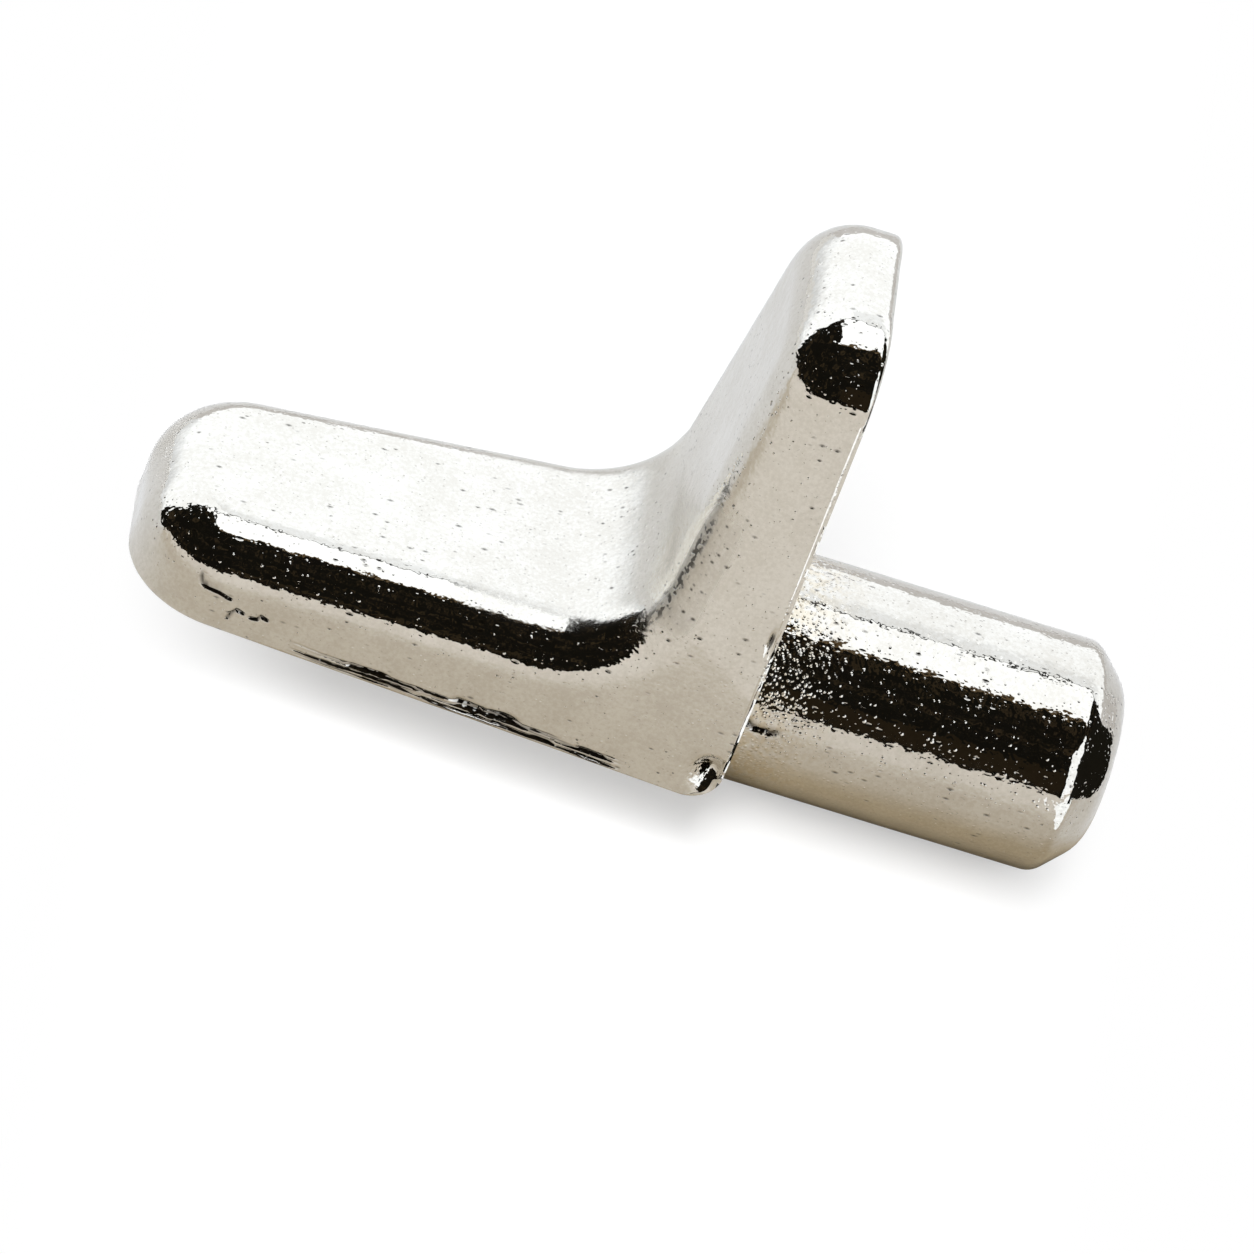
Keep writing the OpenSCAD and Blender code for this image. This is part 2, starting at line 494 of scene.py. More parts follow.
# How far the lines wander and in how many waves to the millimetre, and how they break on each side
SLOW_WANDER, SLOW_WAVES = 0.05, 0.9
QUICK_WANDER, QUICK_WAVES = 0.016, 5
GAP_WAVES = 1.1
GAP_RANGE = (-0.5, -0.1)
LINE_FAR_SHIFT = 40
line_span = span(x, *LINE_SPAN) * side_wall
for seed, (height, drift, depth) in enumerate(PARTING_LINES):
    wander = SLOW_WANDER * line_waves(x, SLOW_WAVES, seed)
    wander += QUICK_WANDER * line_waves(x, QUICK_WAVES, seed + 9)
    off_line = z + SHELF_DROP - height - drift * (x - LINE_MIDDLE) - wander
    gaps = line_waves(x + LINE_FAR_SHIFT * far_side, GAP_WAVES, seed + 20)
    there = line_span * rise(gaps, *GAP_RANGE)
    groove = there * bell(off_line, LINE_W)
    # The line's groove is darkened by painted shade
    cut(groove, depth, LINE_DARK * groove)
    cut(there * bell(off_line + RIDGE_DROP, RIDGE_W), -RIDGE_SHARE * depth)

# Deep tears along these lines, each as its width and its way by x and z
TEARS = [
    (0.12, [(-5.65, -0.8), (-5.2, -0.85), (-4.5, -0.8)]),
    (0.06, [(-8.0, -0.83), (-7.3, -0.79)]),
    (0.055, [(-4.0, -0.98), (-3.63, -1.0)]),
    (0.06, [(-3.0, -0.86), (-2.5, -0.9)]),
]
TEAR_STEEPNESS = 1.2
TEAR_LEVEL, TEAR_SWING, TEAR_WAVES = 0.75, 0.5, 5
for width, way in TEARS:
    groove = scratch(way, width) * (TEAR_LEVEL + TEAR_SWING * line_waves(x, TEAR_WAVES, seed=3))
    # Each tear is darkened by painted shade
    cut(groove, TEAR_STEEPNESS * width, groove)

# Three curled scratches near the tip
CURLS = [
    [(-11.62, 0.1), (-11.5, 0.02), (-11.42, -0.14), (-11.27, -0.18), (-11.08, -0.18), (-10.77, -0.26)],
    [(-10.71, -0.74), (-10.67, -0.58), (-10.58, -0.45), (-10.43, -0.5)],
    [(-10.27, -0.54), (-10.12, -0.52), (-10.07, -0.41), (-9.92, -0.46)],
]
CURL_W = 0.035
CURL_DEPTH = 0.045
for way in CURLS:
    groove = scratch(way, CURL_W)
    # Each curl is darkened by painted shade
    cut(groove, CURL_DEPTH, groove)

# Flash along the edge of the rear face: a narrow groove beside a rough ridge, with one nick in it
FLASH_SPAN = (-0.6, 0.0, 8.4, 9.2)
FLASH_GROOVE_X = -0.1
FLASH_GROOVE_W = 0.025
FLASH_GROOVE_DEPTH = 0.022
FLASH_GROOVE_SWING, FLASH_GROOVE_WAVES = 0.6, 1.3
FLASH_RIDGE_RANGE = (-0.075, -0.035)
FLASH_RIDGE_WAVES = 4.5
FLASH_ROUGHNESS = 0.04
FLASH_FAR_SHIFT = 30
NICK_X, NICK_W = -0.17, 0.07
NICK_Z, NICK_H = 3.3, 0.3
NICK_DEPTH = 0.1
NICK_DARK_RANGE = (0.5, 0.9)
flash_span = span(z, *FLASH_SPAN) * side_wall
flash_groove = flash_span * bell(x - FLASH_GROOVE_X, FLASH_GROOVE_W)
flash_groove *= 1 + FLASH_GROOVE_SWING * line_waves(z, FLASH_GROOVE_WAVES, seed=5)
cut(flash_groove, FLASH_GROOVE_DEPTH)
flash_ridge = flash_span * rise(x, *FLASH_RIDGE_RANGE)
flash_ridge *= 1 + line_waves(z + FLASH_FAR_SHIFT * far_side, FLASH_RIDGE_WAVES, seed=6)
cut(flash_ridge, FLASH_ROUGHNESS)
nick = near_wall * bell(x - NICK_X, NICK_W) * bell(z - NICK_Z, NICK_H)
# The nick's middle is darkened by painted shade
cut(nick, NICK_DEPTH, rise(nick, *NICK_DARK_RANGE))

# Rough corners of the heel, with a dent on the near side
HEEL_ROUGHNESS = 0.03
HEEL_X, HEEL_Z, HEEL_REACH = -0.3, -0.7, 0.35
HEEL_Y_RANGE = (3.1, 3.3)
HEEL_WAVES = 3.3
DENT_DEPTH = 0.38
DENT_SWING, DENT_WAVES = 0.15, 4
DENT_X, DENT_W = -0.3, 0.36
DENT_Z, DENT_H = -0.42, 0.38
heel_corner = bell(np.hypot(x - HEEL_X, z - HEEL_Z), HEEL_REACH) * rise(np.abs(y), *HEEL_Y_RANGE)
cut(heel_corner * (1 + waves(HEEL_WAVES, seed=7)), HEEL_ROUGHNESS)
heel_dent = near_wall * bell(np.hypot((x - DENT_X) / DENT_W, (z - DENT_Z) / DENT_H), 1)
cut(heel_dent * (1 + DENT_SWING * waves(DENT_WAVES, seed=11)), DENT_DEPTH)

# A burr on the pin beside the rear face
BURR = [
    (0.0, -2.45, 0.5), (0.18, -2.47, 0.4), (0.3, -2.48, 0.3), (0.42, -2.48, 0.28),
    (0.56, -2.48, 0.31), (0.68, -2.49, 0.26), (0.8, -2.48, 0.33),
]
BURR_W = 0.06
BURR_DEPTH = 0.04
BURR_LEVEL, BURR_WAVES = 1.4, 7
burr = along_way(BURR, place, BURR_W) * (x > 0) * (BURR_LEVEL + waves(BURR_WAVES, seed=13))
# The burr is darkened by painted shade
cut(burr, BURR_DEPTH, burr)

place = np.clip(place - outward * press[:, None], np.array(cad_low) / MM, np.array(cad_high) / MM)
mesh.vertices.foreach_set("co", (place * MM).ravel())
# The painted shade of the grooves is kept on the mesh for the plating to darken
mesh.attributes.new("groove_shade", "FLOAT", "POINT").data.foreach_set("value", np.clip(groove_shade, 0, 1))
mesh.validate()
mesh.shade_smooth()
mesh.set_sharp_from_angle(angle=SHARP_TURN)
casting = bpy.data.objects.new("casting", mesh)
bpy.context.scene.collection.objects.link(casting)


class Nodes:
    """The nodes of one material or world. Each method makes a node or a few and gives their result."""

    def __init__(self, owner):
        owner.use_nodes = True
        self.tree = owner.node_tree
        self.tree.nodes.clear()

    def node(self, kind, **settings):
        made = self.tree.nodes.new(kind)
        for name, value in settings.items():
            setattr(made, name, value)
        return made

    def feed(self, socket, value):
        """Give a socket another node's result, or a number or colour of its own."""
        if isinstance(value, bpy.types.NodeSocket):
            self.tree.links.new(value, socket)
        else:
            socket.default_value = value

    def fill(self, made, **values):
        """Feed a node's sockets by name, with _ for a space."""
        for name, value in values.items():
            self.feed(made.inputs[name.replace("_", " ")], value)
        return made

    def in_mm(self):
        """Place on the object in millimetres."""
        place = self.node("ShaderNodeTexCoord").outputs["Object"]
        return self.stretched(place, (1 / MM, 1 / MM, 1 / MM), (0, 0, 0))

    def axes(self, vector):
        made = self.node("ShaderNodeSeparateXYZ")
        self.feed(made.inputs[0], vector)
        return made.outputs

    def math(self, operation, *values):
        made = self.node("ShaderNodeMath", operation=operation)
        for socket, value in zip(made.inputs, values):
            self.feed(socket, value)
        return made.outputs[0]

    def chain(self, operation, first, *others):
        """One value from many, such as their product."""
        for other in others:
            first = self.math(operation, first, other)
        return first

    def product(self, *values):
        return self.chain("MULTIPLY", *values)

    def absolute(self, value):
        return self.math("ABSOLUTE", value)

    def distance(self, *coordinates):
        """Distance from a centre, by pairs of a coordinate and the centre's own."""
        offsets = [self.math("SUBTRACT", value, centre) for value, centre in coordinates]
        return self.math("SQRT", self.chain("ADD", *[self.product(offset, offset) for offset in offsets]))

    def ramp(self, value, low, high, to_low=0.0, to_high=1.0):
        """Smooth step between two values; it falls where the first is the higher."""
        made = self.node("ShaderNodeMapRange", interpolation_type="SMOOTHSTEP")
        self.fill(made, Value=value, From_Min=low, From_Max=high, To_Min=to_low, To_Max=to_high)
        return made.outputs[0]

    def band(self, value, start, full, fade, end):
        """Smooth step from 0 at start to 1 at full, and back from fade to end."""
        return self.product(self.ramp(value, start, full), self.ramp(value, end, fade))

    def stretched(self, vector, scale, offset):
        made = self.node("ShaderNodeMapping")
        self.fill(made, Vector=vector, Scale=scale, Location=offset)
        return made.outputs[0]

    def grain(self, vector, scale, detail, rough):
        made = self.node("ShaderNodeTexNoise")
        self.fill(made, Vector=vector, Scale=scale, Detail=detail, Roughness=rough)
        return made.outputs["Fac"]

    def spots(self, vector, share, scale, small, large):
        """Height of scattered round spots: a share of the cells holds one, of random size."""
        cells = self.node("ShaderNodeTexVoronoi", feature="F1")
        self.fill(cells, Vector=vector, Scale=scale, Randomness=SPOT_SCATTER)
        chances = self.node("ShaderNodeSeparateColor")
        self.feed(chances.inputs[0], cells.outputs["Color"])
        size = self.ramp(chances.outputs[1], 0.0, 1.0, small, large)
        height = self.ramp(cells.outputs["Distance"], size, 0.0)
        return self.product(height, self.math("LESS_THAN", chances.outputs[0], share))

    def colour_mix(self, share, first, second, kind="MIX"):
        made = self.node("ShaderNodeMix", data_type="RGBA", blend_type=kind)
        first_socket, second_socket = [socket for socket in made.inputs if socket.type == "RGBA"]
        self.feed(made.inputs["Factor"], share)
        self.feed(first_socket, first)
        self.feed(second_socket, second)
        return next(socket for socket in made.outputs if socket.type == "RGBA")

    def shader(self, kind, **values):
        return self.fill(self.node(kind), **values).outputs[0]

    def shader_mix(self, share, first, second):
        made = self.node("ShaderNodeMixShader")
        for socket, value in zip(made.inputs, (share, first, second)):
            self.feed(socket, value)
        return made.outputs[0]

    def light_path(self, kind):
        """1 for the rays of one kind."""
        return self.node("ShaderNodeLightPath").outputs[kind]

    def show(self, shader, kind="ShaderNodeOutputMaterial"):
        self.feed(self.node(kind).inputs[0], shader)


# Colours of the plating, and the dark of the dirt in its marks and of the painted shade in its grooves
NICKEL_DULL = (0.635, 0.60, 0.535, 1)
NICKEL_BRIGHT = (0.725, 0.695, 0.635, 1)
DIRT_AND_SHADE = (0.06, 0.055, 0.05, 1)
# Painted shade that makes the whole pin a little darker, and the tint of its skin near the root
PIN_SHADE = (0.94, 0.935, 0.93, 1)
ROOT_TINT = (0.96, 0.90, 0.79, 1)
# Noise of the skin, as waves to the millimetre, detail and roughness
SKIN_GRAIN = (3.4, 2.0, 0.55)
CLOUD_GRAIN = (0.9, 2.0, 0.6)
MOTTLE_GRAIN = (11.0, 2.0, 0.7)
FLECK_GRAIN = (0.45, 2.0, 0.5)
PIT_GRAIN = (7.0, 1.0, 0.5)
FLASH_GRAIN = (2.5, 2.0, 0.6)
PATCH_GRAIN = (5.5, 2.0, 0.55)
ROOT_GRAIN = (6.0, 2.0, 0.6)
# How the noise shows: the values at which it begins to show and is full
FLECK_SHOWS = (0.38, 0.62)
MOTTLE_SHOWS = (0.36, 0.64)
PIT_SHOWS = (0.5, 0.57)
FLASH_SHOWS = (0.34, 0.46)
ROOT_SHOWS = (0.4, 0.6)
DULL_SHOWS = (0.3, 0.7)
CLOUD_SHARE = 0.4
MOTTLE_SHARE = 0.6
# Spots of the skin, as cells to the millimetre, and the smallest and largest radius in a cell
SPECKS = (9.5, 0.12, 0.44)
ROOT_SPECKS = (11.0, 0.28, 0.68)
FLECKS = (7.5, 0.06, 0.38)
DUST = (15.0, 0.12, 0.4)
SPOT_SCATTER = 0.9
# Shares of the cells that hold a spot: specks on the bracket and the pin, flecks at the least and the most
SPECK_SHARES = (0.17, 0.34)
FLECK_SHARES = (0.1, 0.42)
FAR_TIP_SHARES = (0.0, 0.7)
DUST_SHARE = 0.3
# Scale and offset of the marks that are drawn out along the casting
FLASH_STRETCH = ((0.3, 0.3, 1), (3, 5, 2))
FLECK_STRETCH = ((0.45, 1, 1), (7, 3, 1))
DUST_STRETCH = ((0.7, 1, 1), (2, 9, 4))
# Height of the grain, and roughness of the plating with what the satin skin and the crease add to it
SKIN_HEIGHT = 0.014
PLATING_ROUGHNESS = (0.035, 0.06)
SATIN_ROUGHNESS = 0.2
CREASE_ROUGHNESS = 0.3
# Where the skin differs, in millimetres: a range rises from its first value to its second, and a span
# falls again from its third to its fourth
PIN_RANGE = (-0.02, 0.02)
PIN_SHADE_RANGE = (0.0, 0.6)
PIN_SPECK_RANGE = (-0.5, 0.5)
ROOT_RANGE = (2.4, 0.0)
INNER_RANGE = (2.9, 2.2)
SATIN_RANGE = (INSIDE_R + 1.2, INSIDE_R + 0.1)
CREASE_X_RANGE = (-1.0, -1.3)
CREASE_Z_SPAN = (1.9, 3.0, 5.0, 7.0)
PIT_Z_RANGE = (5.8, 5.0)
FLASH_X_SPAN = (-0.095, -0.07, 0.0, 0.01)
FLASH_Z_RANGE = (3.4, 2.8)
PATCH_X, PATCH_Z = -0.5, -0.62
PATCH_RANGE = (0.4, 0.1)
PATCH_Y_RANGE = (-3.0, -3.3)
FAR_TIP_X_RANGE = (-6.0, -10.5)
FAR_TIP_Y_RANGE = (0.0, 2.4)
# The same for how near the pin's root is, and for how far the skin faces sideways or to the rear
ROOT_SPECK_RANGE = (0.0, 0.75)
CREASE_TURN = (0.3, 0.5, 0.9, 0.98)
PIT_TURN = (0.43, 0.49, 0.58, 0.66)
FLASH_TURN = (0.9, 0.75)
# How the flash leans, which lets it catch the light from above
FLASH_LEAN = (0.12, 0, 0.55)


def nickel():
    """Bright nickel plating over a cast skin."""
    mat = bpy.data.materials.new("nickel_plating")
    nodes = Nodes(mat)
    in_mm = nodes.in_mm()
    x, y, z = nodes.axes(in_mm)
    facing = nodes.axes(nodes.node("ShaderNodeNewGeometry").outputs["Normal"])
    sideways = nodes.absolute(facing[1])

    # Rough cast skin on the pin near its root, satin skin in and around the hollow corner
    near_root = nodes.product(nodes.ramp(x, *ROOT_RANGE), nodes.ramp(x, *PIN_RANGE))
    from_hollow = nodes.distance((x, hollow_x), (z, hollow_z))
    inner = nodes.ramp(nodes.absolute(y), *INNER_RANGE)
    satin = nodes.product(nodes.ramp(from_hollow, *SATIN_RANGE), inner)

    # Crease along the rounded edge, from the hollow corner up the plate, with a broken line of pits in it
    slant = nodes.band(sideways, *CREASE_TURN)
    crease = nodes.product(slant, nodes.ramp(x, *CREASE_X_RANGE), nodes.band(z, *CREASE_Z_SPAN))
    pit_line = nodes.product(nodes.band(sideways, *PIT_TURN), crease, nodes.ramp(z, *PIT_Z_RANGE))
    pits = nodes.product(pit_line, nodes.ramp(nodes.grain(in_mm, *PIT_GRAIN), *PIT_SHOWS))

    # Broken flash along the lower part of the rear face's edge, and a rough patch in the heel's dent
    flash_edge = nodes.product(nodes.band(x, *FLASH_X_SPAN), nodes.ramp(facing[0], *FLASH_TURN))
    flash_grain = nodes.grain(nodes.stretched(in_mm, *FLASH_STRETCH), *FLASH_GRAIN)
    flash_shows = nodes.ramp(flash_grain, *FLASH_SHOWS)
    flash = nodes.product(flash_edge, nodes.ramp(z, *FLASH_Z_RANGE), flash_shows)
    from_patch = nodes.distance((x, PATCH_X), (z, PATCH_Z))
    patch = nodes.product(nodes.ramp(from_patch, *PATCH_RANGE), nodes.ramp(y, *PATCH_Y_RANGE))
    patch = nodes.product(patch, nodes.grain(in_mm, *PATCH_GRAIN))

    # Grain, specks, flecks and dust of the skin; more specks on the pin, more flecks on the tip's far side
    skin = nodes.grain(in_mm, *SKIN_GRAIN)
    specks = nodes.spots(in_mm, nodes.ramp(x, *PIN_SPECK_RANGE, *SPECK_SHARES), *SPECKS)
    root_specks = nodes.spots(in_mm, nodes.ramp(near_root, *ROOT_SPECK_RANGE), *ROOT_SPECKS)
    fleck_areas = nodes.ramp(nodes.grain(in_mm, *FLECK_GRAIN), *FLECK_SHOWS, *FLECK_SHARES)
    far_tip = nodes.ramp(y, *FAR_TIP_Y_RANGE, *FAR_TIP_SHARES)
    far_tip = nodes.product(far_tip, nodes.ramp(x, *FAR_TIP_X_RANGE))
    fleck_share = nodes.chain("MAXIMUM", fleck_areas, crease, far_tip)
    flecks = nodes.spots(nodes.stretched(in_mm, *FLECK_STRETCH), fleck_share, *FLECKS)
    dust = nodes.spots(nodes.stretched(in_mm, *DUST_STRETCH), DUST_SHARE, *DUST)

    # How far each mark stands out or sinks in
    marks = [
        (specks, 0.011),
        (root_specks, 0.013),
        (patch, 0.05),
        (flecks, -0.009),
        (dust, -0.003),
        (pits, -0.02),
    ]
    height = nodes.product(skin, SKIN_HEIGHT)
    for mark, stands in marks:
        height = nodes.math("MULTIPLY_ADD", mark, stands, height)
    bump = nodes.fill(nodes.node("ShaderNodeBump"), Strength=1.0, Distance=MM, Height=height)
    leaning = nodes.node("ShaderNodeVectorMath", operation="MULTIPLY_ADD")
    for socket, value in zip(leaning.inputs, (flash, FLASH_LEAN, bump.outputs[0])):
        nodes.feed(socket, value)
    normal = nodes.node("ShaderNodeVectorMath", operation="NORMALIZE")
    nodes.feed(normal.inputs[0], leaning.outputs[0])

    # Colour: a mottled plating, darkened where dirt sits and by painted shade in its grooves, made a little
    # darker on the pin as painted shade, and tinted near the pin's root
    cloud = nodes.product(nodes.grain(in_mm, *CLOUD_GRAIN), CLOUD_SHARE)
    mottle = nodes.math("MULTIPLY_ADD", nodes.grain(in_mm, *MOTTLE_GRAIN), MOTTLE_SHARE, cloud)
    tone = nodes.colour_mix(nodes.ramp(mottle, *MOTTLE_SHOWS), NICKEL_DULL, NICKEL_BRIGHT)
    # Painted shade in the grooves, read from the mesh
    painted_groove_shade = nodes.node("ShaderNodeAttribute", attribute_name="groove_shade").outputs["Fac"]
    stains_and_shade = [(flecks, 0.85), (dust, 0.4), (pits, 0.8), (painted_groove_shade, 0.93)]
    dirt_and_shade = nodes.chain("MAXIMUM", *[nodes.product(mark, share) for mark, share in stains_and_shade])
    tone = nodes.colour_mix(dirt_and_shade, tone, DIRT_AND_SHADE)
    # The whole pin is darkened a little as painted shade
    tone = nodes.colour_mix(nodes.ramp(x, *PIN_SHADE_RANGE), tone, PIN_SHADE, "MULTIPLY")
    root_areas = nodes.product(near_root, nodes.ramp(nodes.grain(in_mm, *ROOT_GRAIN), *ROOT_SHOWS))
    tone = nodes.colour_mix(root_areas, tone, ROOT_TINT, "MULTIPLY")

    dull = nodes.ramp(skin, *DULL_SHOWS, *PLATING_ROUGHNESS)
    dull = nodes.math("MULTIPLY_ADD", satin, SATIN_ROUGHNESS, dull)
    dull = nodes.math("MULTIPLY_ADD", crease, CREASE_ROUGHNESS, dull)
    nodes.show(nodes.shader(
        "ShaderNodeBsdfPrincipled", Base_Color=tone, Metallic=1.0, Roughness=dull, Normal=normal.outputs[0],
    ))
    return mat


casting.data.materials.append(nickel())
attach(casting, "root")
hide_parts("shelf_pin")

# The table's tones as the metal mirrors it, with the casting's shadow painted in: bright behind, duller in
# front, dullest under the casting
FLOOR_FRONT = (0.74, 0.715, 0.68, 1)
FLOOR_NEAR_SHADOW = (0.565, 0.525, 0.46, 1)
FLOOR_BEHIND = (0.75, 0.765, 0.79, 1)
FLOOR_UNDER_SHADOW = (0.41, 0.35, 0.25, 1)
# The table's tone where the camera sees it, and how much of its shadow is seen
FLOOR_SHOWN = (0.975, 0.975, 0.975, 1)
SHADOW_SHARE = 0.49
WHITE = (1, 1, 1, 1)
# Where the table's tones and its shadow begin and end, in millimetres
NEAR_RANGE = (-14, -5)
BEHIND_RANGE = (-5, 2)
CASTING_MIDDLE = -0.5
SHADOW_UNDER_LONG_RANGE = (10.5, 8.5)
SHADOW_UNDER_WIDE_RANGE = (5.0, 2.5)
SHADOW_SPAN = (-13.2, -7.6, 5.6, 9.2)


def white_table():
    """White table, whose shadow the camera sees lightened, and fading towards both ends of the casting; the
    metal mirrors it with a painted shadow, darker in front of the casting and darkest under it.
    """
    mat = bpy.data.materials.new("white_table")
    nodes = Nodes(mat)
    x, y, _ = nodes.axes(nodes.in_mm())
    # Painted shadow of the casting, seen only in the metal: darker in front of it and darkest under it
    tone = nodes.colour_mix(nodes.ramp(y, *NEAR_RANGE), FLOOR_FRONT, FLOOR_NEAR_SHADOW)
    tone = nodes.colour_mix(nodes.ramp(y, *BEHIND_RANGE), tone, FLOOR_BEHIND)
    off_middle = nodes.absolute(nodes.math("SUBTRACT", x, CASTING_MIDDLE))
    shadow_under_long = nodes.ramp(off_middle, *SHADOW_UNDER_LONG_RANGE)
    shadow_under_wide = nodes.ramp(nodes.absolute(y), *SHADOW_UNDER_WIDE_RANGE)
    tone = nodes.colour_mix(nodes.product(shadow_under_long, shadow_under_wide), tone, FLOOR_UNDER_SHADOW)
    lit = nodes.shader("ShaderNodeBsdfDiffuse", Color=tone)
    shown = nodes.shader("ShaderNodeBsdfDiffuse", Color=FLOOR_SHOWN)
    white = nodes.shader("ShaderNodeEmission", Color=WHITE, Strength=1.0)
    shadow = nodes.product(nodes.band(x, *SHADOW_SPAN), SHADOW_SHARE)
    seen = nodes.shader_mix(shadow, white, shown)
    nodes.show(nodes.shader_mix(nodes.light_path("Is Camera Ray"), lit, seen))
    return mat


def glow(name, colour, strength):
    """Even glow of a card."""
    mat = bpy.data.materials.new(name)
    nodes = Nodes(mat)
    nodes.show(nodes.shader("ShaderNodeEmission", Color=(*colour, 1), Strength=strength))
    return mat


def fading_glow(name, colour, heights, levels):
    """Glow of a card that changes from one level to another between two heights."""
    mat = bpy.data.materials.new(name)
    nodes = Nodes(mat)
    height = nodes.axes(nodes.node("ShaderNodeTexCoord").outputs["Object"])[2]
    level = nodes.ramp(height, *heights, *levels)
    nodes.show(nodes.shader("ShaderNodeEmission", Color=(*colour, 1), Strength=level))
    return mat


def card(name, corners, mat, only_mirrored=True):
    """A flat surface of the studio, given by its corners in metres."""
    made = bpy.data.meshes.new(name)
    made.from_pydata(corners, [], [(0, 1, 2, 3)])
    made.materials.append(mat)
    obj = bpy.data.objects.new(name, made)
    bpy.context.scene.collection.objects.link(obj)
    if only_mirrored:
        obj.visible_camera = False
        obj.visible_shadow = False
        obj.visible_diffuse = False


def lying(left, right, front, back, height):
    """Corners of a level card."""
    return [(left, front, height), (right, front, height), (right, back, height), (left, back, height)]


def standing(start, end, low, high):
    """Corners of an upright card between two places on the plan."""
    return [(*start, low), (*end, low), (*end, high), (*start, high)]


# Studio in metres: the table, a softbox overhead and a white backdrop, with a dark gap between them
FLOOR_Z = -PIN_R * MM
FAR = 3
HIGH = 1.0
BACK = 1.3
DAYLIGHT = (0.88, 0.93, 1)
PALE = (0.98, 0.98, 1)
card("floor", lying(-FAR, FAR, -FAR, FAR, FLOOR_Z), white_table(), only_mirrored=False)


def overhead(angle):
    """How far back a card at the softbox's height is met, at an angle up from the front horizon."""
    return -HIGH / math.tan(math.radians(angle))


def behind(angle):
    """How high the backdrop is met, at an angle up from the front horizon."""
    return BACK * math.tan(math.radians(180 - angle))


# Softbox, with a brown lip along its front
SOFTBOX_LEFT = -0.45
SOFTBOX_RIGHT = 0.75
SOFTBOX_LEVEL = 1.8
SOFTBOX_FRONT = overhead(78)
SOFTBOX_BACK = overhead(111)
LIP_FRONT = overhead(75)
LIP_BROWN = (0.12, 0.085, 0.045)
card(
    "softbox",
    lying(SOFTBOX_LEFT, SOFTBOX_RIGHT, SOFTBOX_FRONT, SOFTBOX_BACK, HIGH),
    glow("softbox_glow", DAYLIGHT, SOFTBOX_LEVEL),
)
card(
    "lip",
    lying(SOFTBOX_LEFT, SOFTBOX_RIGHT, LIP_FRONT, SOFTBOX_FRONT, HIGH),
    glow("lip_glow", LIP_BROWN, 1),
)

# The backdrop fades towards its foot at the left and towards its head at the right, over a grey foot
BACKDROP_LEFT = -3.9
BACKDROP_SPLIT = -0.5
BACKDROP_TOP = behind(113)
BACKDROP_LEVEL = 1.64
LEFT_FADE = (-0.1, 0.6)
LEFT_FOOT_LEVEL = 0.98
HEAD_FADE = (behind(132), behind(122))
HEAD_LEVEL = 1.36
FOOT_HIGH = 0.22
FOOT_LEVEL = 0.76
card(
    "backdrop_left",
    standing((BACKDROP_LEFT, BACK), (BACKDROP_SPLIT, BACK), FLOOR_Z, BACKDROP_TOP),
    fading_glow("backdrop_left_glow", DAYLIGHT, LEFT_FADE, (LEFT_FOOT_LEVEL, BACKDROP_LEVEL)),
)
card(
    "backdrop",
    standing((BACKDROP_SPLIT, BACK), (FAR, BACK), FOOT_HIGH, BACKDROP_TOP),
    fading_glow("backdrop_glow", DAYLIGHT, HEAD_FADE, (BACKDROP_LEVEL, HEAD_LEVEL)),
)
card(
    "backdrop_foot",
    standing((BACKDROP_SPLIT, BACK), (FAR, BACK), FLOOR_Z, FOOT_HIGH),
    glow("backdrop_foot_glow", PALE, FOOT_LEVEL),
)

# The table's far part: at the left as bright as the backdrop's foot, duller at the right
SWEEP_Z = FLOOR_Z + 0.3 * MM
SWEEP_FRONT = 0.07
SPLIT_FRONT_X = -0.025
SPLIT_BACK_X = -0.46
SWEEP_LEFT_LEVEL = 0.96
SWEEP_RIGHT_LEVEL = 0.74
SWEEP_LEFT_PALE = (0.96, 0.98, 1)
split_front = (SPLIT_FRONT_X, SWEEP_FRONT, SWEEP_Z)
split_back = (SPLIT_BACK_X, BACK, SWEEP_Z)
card(
    "sweep_left",
    [(-FAR, SWEEP_FRONT, SWEEP_Z), split_front, split_back, (-FAR, BACK, SWEEP_Z)],
    glow("sweep_left_glow", SWEEP_LEFT_PALE, SWEEP_LEFT_LEVEL),
)
card(
    "sweep_right",
    [split_front, (FAR, SWEEP_FRONT, SWEEP_Z), (FAR, BACK, SWEEP_Z), split_back],
    glow("sweep_right_glow", PALE, SWEEP_RIGHT_LEVEL),
)

# A reflector on the table at the right, a tall one beyond it, a dark flag, and brown wood behind the camera
REFLECTOR_LEVEL = 1.63
REFLECTOR_LEFT, REFLECTOR_RIGHT = 0.0095, 0.032
REFLECTOR_FRONT, REFLECTOR_BACK = -0.022, -0.004
SIDE_START, SIDE_END = (0.45, -1.15), (1.1, -0.45)
FLAG_START, FLAG_END = (0.016, -0.008), (0.016, 0.003)
FLAG_TOP = 0.006
FLAG_BLACK = (0.012, 0.011, 0.008)
WOOD_START, WOOD_END = (0.06, -1), (0.3, -1)
WOOD_LOW, WOOD_TOP = 0.08, 0.42
WOOD_BROWN = (0.022, 0.016, 0.009)
card(
    "reflector",
    lying(REFLECTOR_LEFT, REFLECTOR_RIGHT, REFLECTOR_FRONT, REFLECTOR_BACK, SWEEP_Z),
    glow("reflector_glow", DAYLIGHT, REFLECTOR_LEVEL),
)
card(
    "side_card",
    standing(SIDE_START, SIDE_END, FLOOR_Z, HIGH),
    glow("side_card_glow", DAYLIGHT, REFLECTOR_LEVEL),
)
card("flag", standing(FLAG_START, FLAG_END, FLOOR_Z, FLAG_TOP), glow("flag_black", FLAG_BLACK, 1))
card("wood", standing(WOOD_START, WOOD_END, WOOD_LOW, WOOD_TOP), glow("wood_glow", WOOD_BROWN, 1))

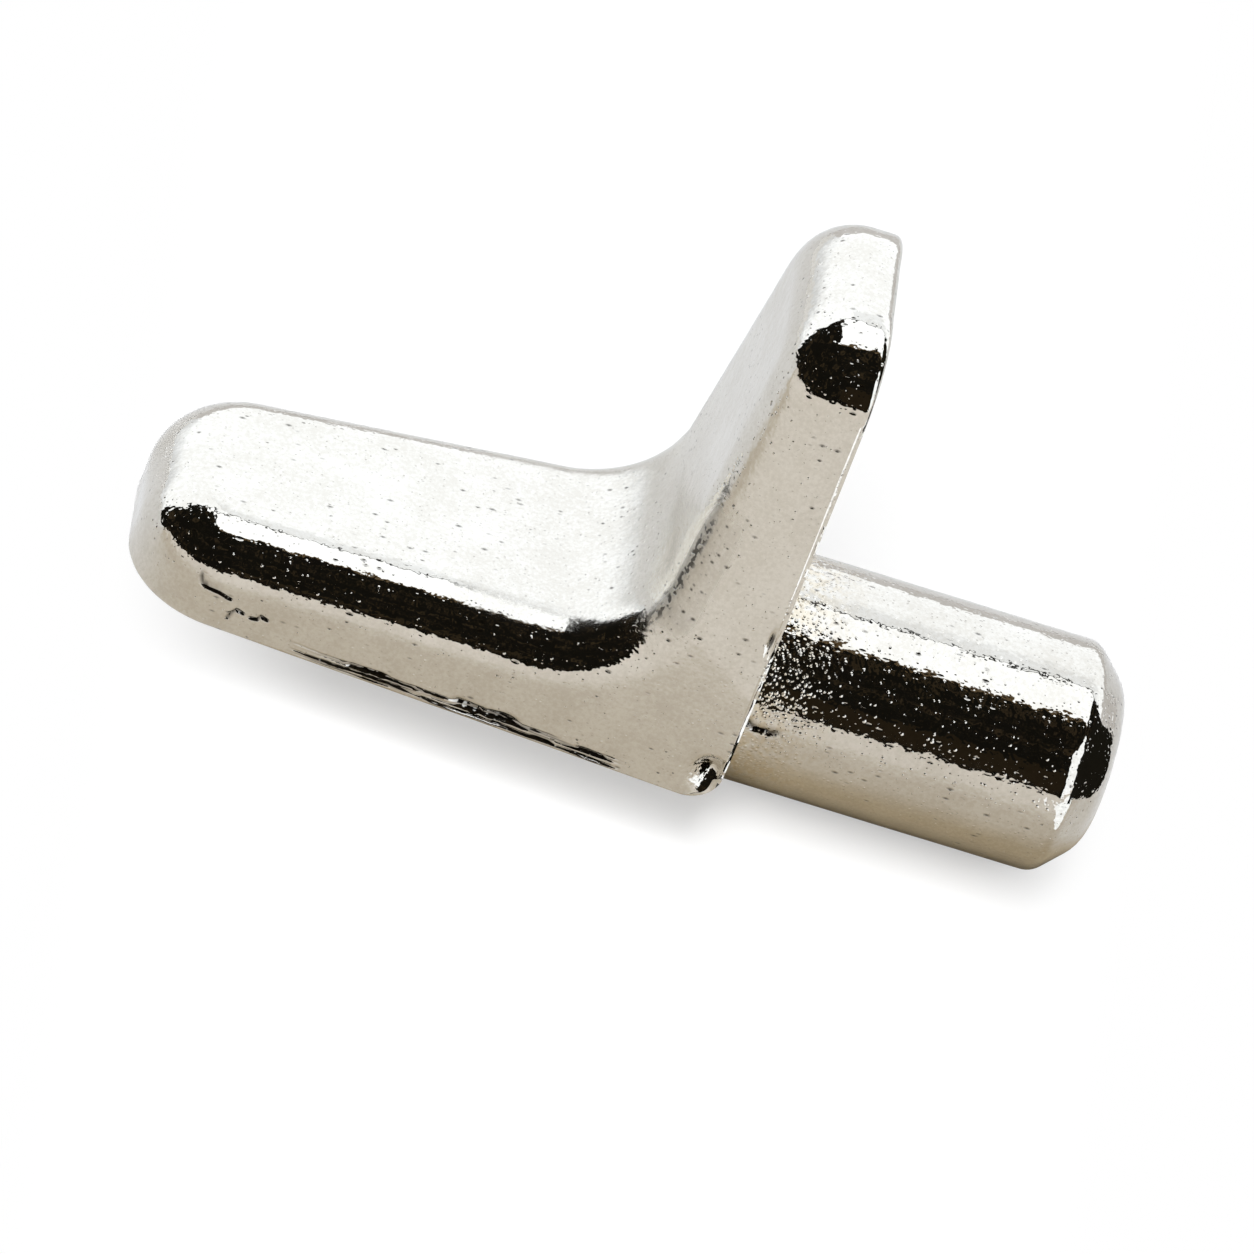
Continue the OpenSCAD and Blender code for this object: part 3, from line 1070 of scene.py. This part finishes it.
# Key light above and in front, narrow from side to side, which keeps the shadow short
KEY_AT = Vector((-0.16, -0.5, 1.12))
KEY_W = 0.4
KEY_DEEP = 1.1
KEY_WATTS = 17.9
key_lamp = bpy.data.lights.new("key", "AREA")
key_lamp.shape = "RECTANGLE"
key_lamp.size = KEY_W
key_lamp.size_y = KEY_DEEP
key_lamp.energy = KEY_WATTS
key = bpy.data.objects.new("key", key_lamp)
key.location = KEY_AT
key.rotation_euler = KEY_AT.to_track_quat("Z", "Y").to_euler()
key.visible_glossy = False
bpy.context.scene.collection.objects.link(key)

# The room lights the table a little, and the metal mirrors it as dark with brown patches
ROOM_DARK = (0.0075, 0.007, 0.0054, 1)
ROOM_BROWN = (0.042, 0.031, 0.018, 1)
ROOM_GRAIN = (10, 2, 0.5)
ROOM_RANGE = (0.5, 0.72)
ROOM_FILL = 0.21
world = bpy.data.worlds.new("studio")
bpy.context.scene.world = world
room = Nodes(world)
room_grain = room.grain(room.node("ShaderNodeTexCoord").outputs["Generated"], *ROOM_GRAIN)
room_tone = room.colour_mix(room.ramp(room_grain, *ROOM_RANGE), ROOM_DARK, ROOM_BROWN)
mirrored = room.shader("ShaderNodeBackground", Color=room_tone, Strength=1)
unmirrored = room.shader("ShaderNodeBackground", Color=WHITE, Strength=ROOM_FILL)
room_seen = room.shader_mix(room.light_path("Is Glossy Ray"), unmirrored, mirrored)
room.show(room_seen, "ShaderNodeOutputWorld")

# Camera: above the near side of the platform's tip, rolled as the photo is
CAMERA_BACK = Vector((-0.12813, -0.77568, 0.61799))
CAMERA_UP = Vector((-0.29038, 0.62515, 0.72447))
CAMERA_DISTANCE = 0.47759
CAMERA_AIM = Vector((-2.471, 0.195, -0.268)) * MM
CAMERA_LENS = 663.4
CAMERA_SENSOR = 36
CAMERA_CLIP = 0.01
camera_data = bpy.data.cameras.new("camera")
camera_data.lens = CAMERA_LENS
camera_data.sensor_width = CAMERA_SENSOR
camera_data.clip_start = CAMERA_CLIP
camera = bpy.data.objects.new("camera", camera_data)
bpy.context.scene.collection.objects.link(camera)
back = CAMERA_BACK.normalized()
right = CAMERA_UP.cross(back).normalized()
upward = back.cross(right)
turned = Matrix((right, upward, back)).transposed().to_4x4()
camera.matrix_world = Matrix.Translation(CAMERA_AIM + back * CAMERA_DISTANCE) @ turned
bpy.context.scene.camera = camera
bpy.context.scene.view_settings.view_transform = "Standard"
